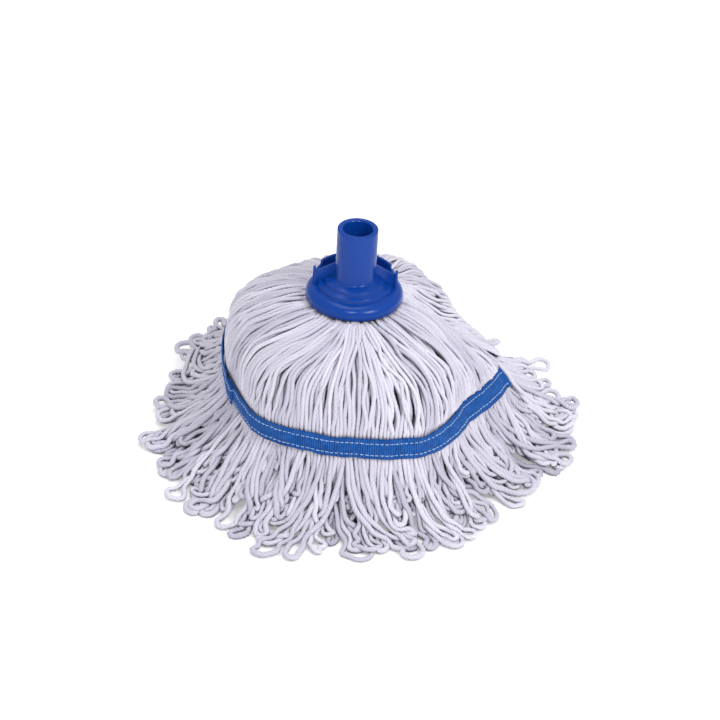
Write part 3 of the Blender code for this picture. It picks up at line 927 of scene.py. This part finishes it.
def tape_path(inner):
    """(azimuth, radius) along the tape, from its hidden start to its loose end."""
    end = 180.0 if inner else TAPE_END
    start = end - 360.0 - (0.0 if inner else OVERLAP_DEG)
    azimuth = np.arange(start, end, 0.25)
    if inner:
        return np.radians(azimuth), band_radius(np.radians(azimuth)) - INNER_INSET
    over = smoothstep((azimuth - (end - OVERLAP_DEG - 8.0)) / 8.0)
    raised = over * (TAPE_THICKNESS + 0.0003) + END_LIFT * smoothstep((azimuth - (end - 4.0)) / 4.0)
    # the pleat: the tape runs back over itself and forward again
    ply = PLEAT_PLY
    before, ahead = azimuth <= PLEAT_FRONT, azimuth >= PLEAT_BACK
    up_to_pleat = 2 * ply * smoothstep((azimuth - (PLEAT_FRONT - 14.0)) / 9.0)
    raised = raised + np.where(before, up_to_pleat, 0)
    turn = np.linspace(0, np.pi, 9)[1:-1]
    bend_deg = math.degrees(0.5 * ply / float(band_radius(math.radians(PLEAT_FRONT))))
    back_run = np.arange(PLEAT_FRONT, PLEAT_BACK, -0.25)
    az = np.radians(np.concatenate([
        azimuth[before], PLEAT_FRONT + bend_deg * np.sin(turn), back_run,
        PLEAT_BACK - bend_deg * np.sin(turn), azimuth[ahead],
    ]))
    up = np.concatenate([
        raised[before], 1.5 * ply + 0.5 * ply * np.cos(turn), np.full(len(back_run), ply),
        0.5 * ply + 0.5 * ply * np.cos(turn),
        np.where(azimuth[ahead] < PLEAT_FRONT + 0.1, 0, raised[ahead]),
    ])
    return az, band_radius(az) + up


class Tape:
    """The tape's middle line with what its faces and stitches are placed by."""

    def __init__(self, inner):
        a, r = tape_path(inner)
        self.waves = low_noise(np.random.default_rng(SEED + (4 if inner else 3)), 18)
        rough_line = place(r, a, np.full(len(a), TAPE_Z))
        steps = np.linalg.norm(np.diff(rough_line, axis=0), axis=1)
        run = np.append(0, np.cumsum(steps))
        step = RIB_PITCH / 4
        self.length = run[-1]
        self.count = int(self.length / step)
        self.at = np.arange(self.count) * step
        self.az = np.interp(self.at, run, a)
        rr = np.interp(self.at, run, r) + BULGE * self.waves(self.az * 2)
        self.line = place(rr, self.az, np.zeros(self.count))
        tangent = np.gradient(self.line, axis=0)
        tangent /= np.linalg.norm(tangent, axis=1, keepdims=True)
        outward = np.stack([tangent[:, 1], -tangent[:, 0], np.zeros(self.count)], 1)
        self.outward = outward / np.linalg.norm(outward, axis=1, keepdims=True)
        away = np.where((self.outward * self.line).sum(1) > 0, 1.0, -1.0)
        self.lean = np.radians(tilt(self.az)) * away
        self.centre_z = TAPE_Z + 0.0006 * self.waves(self.az + 2.0)


def on_tape(line, outward, lean, height, out):
    """Points at a height along the leaning tape's width and out from its face."""
    rise = height - TAPE_Z
    level = out * np.cos(lean) - rise * np.sin(lean)
    z = TAPE_Z + rise * np.cos(lean) + out * np.sin(lean)
    return line + outward * level[:, None] + np.stack([0 * z, 0 * z, z], 1)


def ribbon(name, tape, material):
    """The woven tape as a closed band of real thickness with ribs across it."""
    half = TAPE_WIDTH / 2
    wave_top = 0.00040 * tape.waves(tape.az * 2 + 1.0) + 0.00010 * np.sin(tape.at / 0.0021)
    wave_low = 0.00030 * tape.waves(tape.az * 2 + 4.0) + 0.00010 * np.sin(tape.at / 0.0024 + 1)
    rib = 0.5 + 0.5 * np.cos(2 * np.pi * tape.at / RIB_PITCH)
    outer, back, marks_outer, marks_back = [], [], [], []
    for t in np.linspace(-1, 1, ACROSS):
        z = tape.centre_z + t * half + np.where(t > 0, wave_top * t, wave_low * t)
        seam = math.exp(-(((abs(t) * half - (half - STITCH_INSET)) / 0.0008) ** 2))
        crown = CROWN * (1 - t * t) - SEAM_DEPTH * seam
        ribbing = RIB_DEPTH * rib * (1 if abs(t) * half < half - STITCH_INSET else 0.4)
        bulge = BULGE * tape.waves(tape.az * 3 + 0.1 * t)
        thinned = SELVAGE if abs(t) == 1 else 0
        for side, out in ((outer, crown + ribbing + bulge - thinned),
                          (back, crown + bulge - TAPE_THICKNESS + thinned)):
            side.append(on_tape(tape.line, tape.outward, tape.lean, z, out))
        marks_outer.append(rib * (1 if abs(t) < 0.97 else 0.6))
        marks_back.append(rib)
    loop = outer + back[::-1]
    width = len(loop)
    marks = np.stack(marks_outer + marks_back[::-1], 1).ravel()
    quads = tube_quads(tape.count, width)[:, ::-1]
    caps = [cap[::-1] for cap in tube_caps(0, tape.count, width)]
    verts = np.stack(loop, 1).reshape(-1, 3)
    return mesh_object(name, verts, quads, caps, {"rib": marks}, material)


STITCH_PITCH, STITCH_LENGTH = 0.0036, 0.0026
THREAD_RADIUS = 0.00024
STITCH_SIDES, STITCH_RINGS = 8, 9


def stitches(name, level, tape, material):
    """A row of separate running stitches, each a short raised thread that dips into the tape."""
    rng = np.random.default_rng(SEED + (5 if level > 0 else 6))
    half = TAPE_WIDTH / 2
    t = level * (half - STITCH_INSET) / half
    crown = CROWN * (1 - t * t)
    hump = np.sin(np.pi * np.linspace(0, 1, STITCH_RINGS))
    angle = 2 * np.pi * np.arange(STITCH_SIDES) / STITCH_SIDES
    radius = THREAD_RADIUS * (0.55 + 0.45 * np.sqrt(hump))
    verts, quads, caps, total = [], [], [], 0
    position = 0.002
    while position + STITCH_LENGTH < tape.at[-1]:
        end = position + STITCH_LENGTH * rng.uniform(0.85, 1.15)
        span = np.linspace(position, end, STITCH_RINGS)
        line, out = (
            np.stack([np.interp(span, tape.at, values[:, i]) for i in range(3)], 1)
            for values in (tape.line, tape.outward)
        )
        az, lean = np.interp(span, tape.at, tape.az), np.interp(span, tape.at, tape.lean)
        z = np.interp(span, tape.at, tape.centre_z) + t * half + rng.normal(0, 0.00006)
        bulge = BULGE * tape.waves(az * 3 + 0.1 * t)
        path = on_tape(line, out, lean, z, crown + bulge - 0.00018 + 0.00036 * hump)
        side, up = frames(path)
        verts.append(tube_points(path, side, up, radius[:, None], angle))
        quads.append(tube_quads(STITCH_RINGS, STITCH_SIDES) + total)
        caps += tube_caps(total, STITCH_RINGS, STITCH_SIDES)
        total += STITCH_RINGS * STITCH_SIDES
        position += STITCH_PITCH * rng.uniform(0.93, 1.07)
    return mesh_object(name, np.concatenate(verts), np.concatenate(quads), caps, {}, material)


# ---------------- socket
WELD = 0.00012  # closes the CAD model's smallest ledges
EDGE_ROUND = 0.0003


def socket_piece(material):
    """The socket with its moulded edges rounded, from the frame's own shape."""
    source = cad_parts["socket_body"]
    mesh = source.data.copy()
    mesh.name = "socket"
    work = bmesh.new()
    work.from_mesh(mesh)
    bmesh.ops.remove_doubles(work, verts=work.verts, dist=WELD)
    flat = math.radians(1.0)
    bmesh.ops.dissolve_limit(work, angle_limit=flat, verts=work.verts, edges=work.edges)
    work.to_mesh(mesh)
    work.free()
    mesh.materials.clear()
    mesh.materials.append(material)
    made = new_object("socket", mesh)
    for polygon in mesh.polygons:
        polygon.use_smooth = True
    rounding = made.modifiers.new("rounding", "BEVEL")
    rounding.width = EDGE_ROUND
    rounding.segments = 2
    rounding.limit_method = "ANGLE"
    rounding.angle_limit = math.radians(40)
    rounding.harden_normals = True
    return made


# ---------------- light, floor, camera
def facing(direction):
    """The turn that points a camera or a light along the direction."""
    return direction.to_track_quat("-Z", "Y")


def make_camera():
    data = bpy.data.cameras.new("camera")
    data.sensor_width = SENSOR_MM
    data.lens = CAMERA_LENS_MM
    data.clip_start, data.clip_end = 0.05, 50
    camera = new_object("camera", data)
    back = Vector((0, -math.cos(CAMERA_ELEVATION), math.sin(CAMERA_ELEVATION)))
    camera.location = CAMERA_TARGET + back * CAMERA_DISTANCE
    turn = facing(-back).to_matrix() @ Matrix.Rotation(CAMERA_ROLL, 3, "Z")
    camera.rotation_mode = "QUATERNION"
    camera.rotation_quaternion = turn.to_quaternion()
    bpy.context.scene.camera = camera


LIT_POINT = Vector((0, 0, 0.06))


def area_light(name, location, size, power):
    data = bpy.data.lights.new(name, "AREA")
    data.shape = "DISK"
    data.size = size
    data.energy = power
    light = new_object(name, data)
    light.location = location
    light.rotation_mode = "QUATERNION"
    light.rotation_quaternion = facing(LIT_POINT - Vector(location))


# name, place, size and power of each light
LIGHTS = (
    ("key", (0.85, -0.80, 1.30), 0.5, 10.5),
    ("front", (-0.05, -1.0, 1.40), 0.24, 4.5),
    ("top", (-0.10, 0.35, 1.6), 0.9, 5.0),
    ("fill", (-1.1, -0.9, 0.6), 0.9, 0.8),
)


def make_studio():
    scene = bpy.context.scene
    world = bpy.data.worlds.new("studio")
    world.use_nodes = True
    background = world.node_tree.nodes["Background"]
    background.inputs["Color"].default_value = (1, 1, 1, 1)
    background.inputs["Strength"].default_value = 0.56
    scene.world = world
    scene.view_settings.view_transform = "Standard"
    for light in LIGHTS:
        area_light(*light)
    bm = bmesh.new()
    bmesh.ops.create_circle(bm, cap_ends=True, segments=96, radius=6.0)
    mesh = bpy.data.meshes.new("floor")
    bm.to_mesh(mesh)
    bm.free()
    floor = new_object("floor", mesh)
    floor.location.z = -0.0001
    look = Look("floor_look", Roughness=0.9, Specular_IOR_Level=0.1, Emission_Color=(1, 1, 1, 1))
    look.shader.inputs["Emission Strength"].default_value = 0.30
    mottle = look.noise(look.object_point, 3.0)
    look.feed("Base Color", look.ramp(mottle, [0.955] * 3, [0.965] * 3))
    mesh.materials.append(look.material)


# ---------------- build
def fixed_piece(piece, slot_name, *nodes):
    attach(piece, "root")
    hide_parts(*nodes)


make_camera()
make_studio()

cotton = yarn_material("cotton_yarn_look", 1.0)
# painted shade: the inner yarn is the same cotton painted darker by the factor 0.80
shaded_inner_cotton = yarn_material("inner_yarn_painted_shade_look", 0.80)
blue_plastic = plastic_material("socket_plastic_look", (0.003, 0.050, 0.315), 0.21)
dark_plastic = plastic_material("plug_plastic_look", (0.010, 0.030, 0.10), 0.55)
tape_look = tape_material()
thread_look = thread_material()

strands = make_loops() + make_inner()
settled = settle(strands)
rng = np.random.default_rng(SEED + 9)
for sector in range(SECTORS):
    number = f"{sector + 1:02d}"
    lines = [line for line, s in zip(settled, strands) if s.sector == sector]
    layers = [s.layer for s in strands if s.sector == sector]
    piece = yarn_object("yarn_" + number, lines, layers, cotton, rng)
    middle = math.radians((sector + 0.5) * 360 / SECTORS)
    r = float(band_radius(middle))
    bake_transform(piece)
    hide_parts("skirt_tuft_" + number, "fringe_tuft_" + number)

lines = [line for line, s in zip(settled, strands) if s.sector == NO_SECTOR]
inner = yarn_object("yarn_inner", lines, [INNER_LAYER] * len(lines), shaded_inner_cotton, rng)
fixed_piece(inner, "cotton_yarn", "yarn_core", "yarn_root")

outer_run, inner_run = Tape(False), Tape(True)
outer_tape = ribbon("tape_ring_outer", outer_run, tape_look)
upper = stitches("stitches_upper", 1, outer_run, thread_look)
lower = stitches("stitches_lower", -1, outer_run, thread_look)
inner_tape = ribbon("tape_ring_inner", inner_run, tape_look)
fixed_piece(outer_tape, "tape_fabric", "tape_outer")
fixed_piece(inner_tape, "tape_fabric", "tape_inner")
fixed_piece(upper, "stitch_thread", "stitch_row_upper")
fixed_piece(lower, "stitch_thread", "stitch_row_lower")

fixed_piece(socket_piece(blue_plastic), "socket_plastic", "socket_body")
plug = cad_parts["clamp_plug"]
plug.data.materials.clear()
plug.data.materials.append(dark_plastic)
